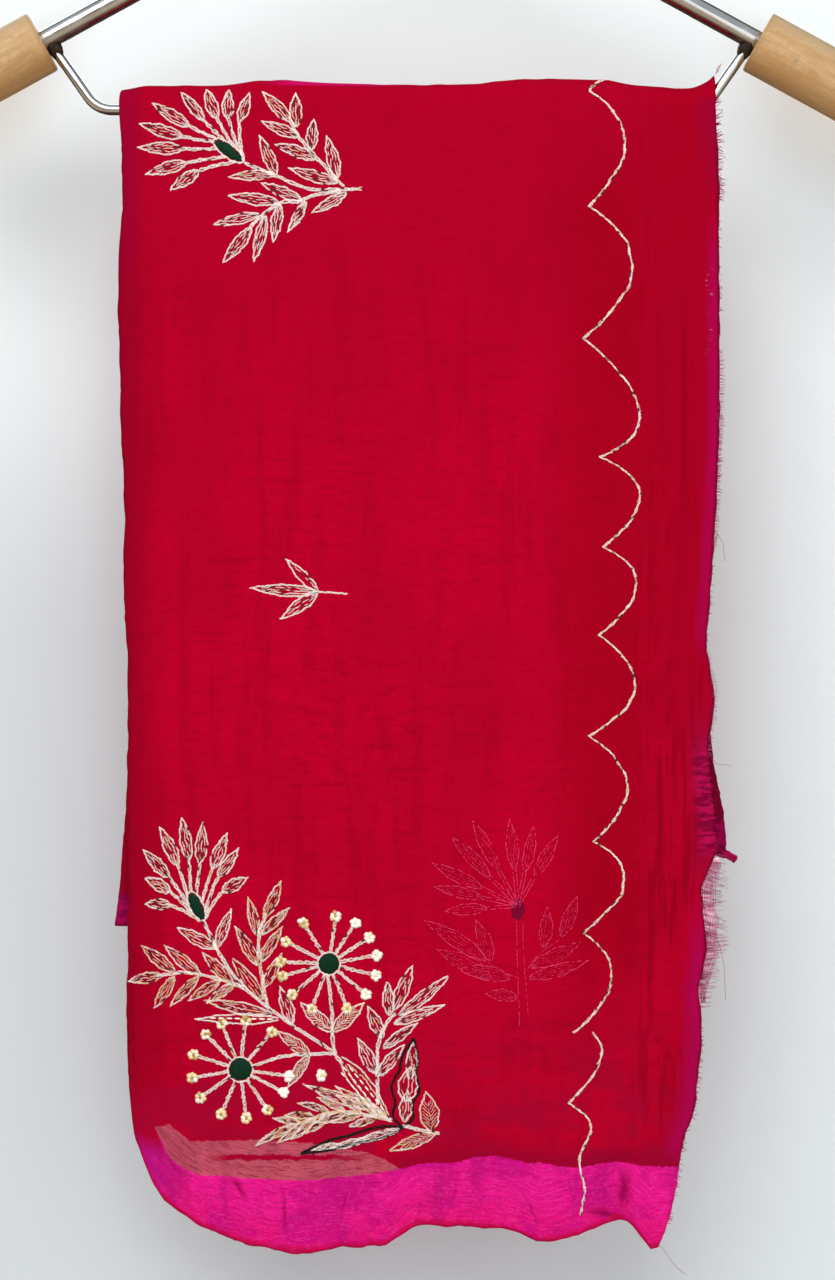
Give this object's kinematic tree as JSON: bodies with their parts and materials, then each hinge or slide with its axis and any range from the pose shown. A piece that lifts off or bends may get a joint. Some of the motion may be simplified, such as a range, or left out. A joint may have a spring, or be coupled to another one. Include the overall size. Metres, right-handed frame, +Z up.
{
  "type": "chiffon saree folded over a hanger",
  "caption": "Embroidered sheer saree folded into a long strip and hung over the bar of a wood and steel hanger.",
  "frame": {"origin": "seat of the hook, the point inside its top that rests on a rail", "axes": "+Z up, +X to the right seen from the front, -Y towards the front, so that the longer stretch of cloth faces -Y"},
  "size_m": [0.4652, 0.029, 0.722],
  "materials": {
    "crimson_cloth": "many layers of sheer crepe chiffon",
    "deep_red_cloth": "folded inner layers of chiffon",
    "magenta_cloth": "two layers of sheer chiffon",
    "pale_cloth": "frayed single layer of chiffon",
    "steel": "polished",
    "wood": "turned, satin lacquer"
  },
  "bodies": {
    "root": {"front_stretch_outer_layer": "crimson_cloth", "back_stretch_outer_layer": "crimson_cloth", "front_stretch_hidden_layers": "deep_red_cloth", "back_stretch_hidden_layers": "deep_red_cloth", "turned_up_hem": "magenta_cloth", "loose_corner": "magenta_cloth", "frayed_edge_upper": "pale_cloth", "frayed_edge_middle": "pale_cloth", "frayed_edge_lower": "pale_cloth", "hanger_hook": "steel", "hanger_arms": "steel", "trouser_bar": "steel", "wooden_sleeve_left": "wood", "wooden_sleeve_right": "wood"}
  },
  "joints": []
}
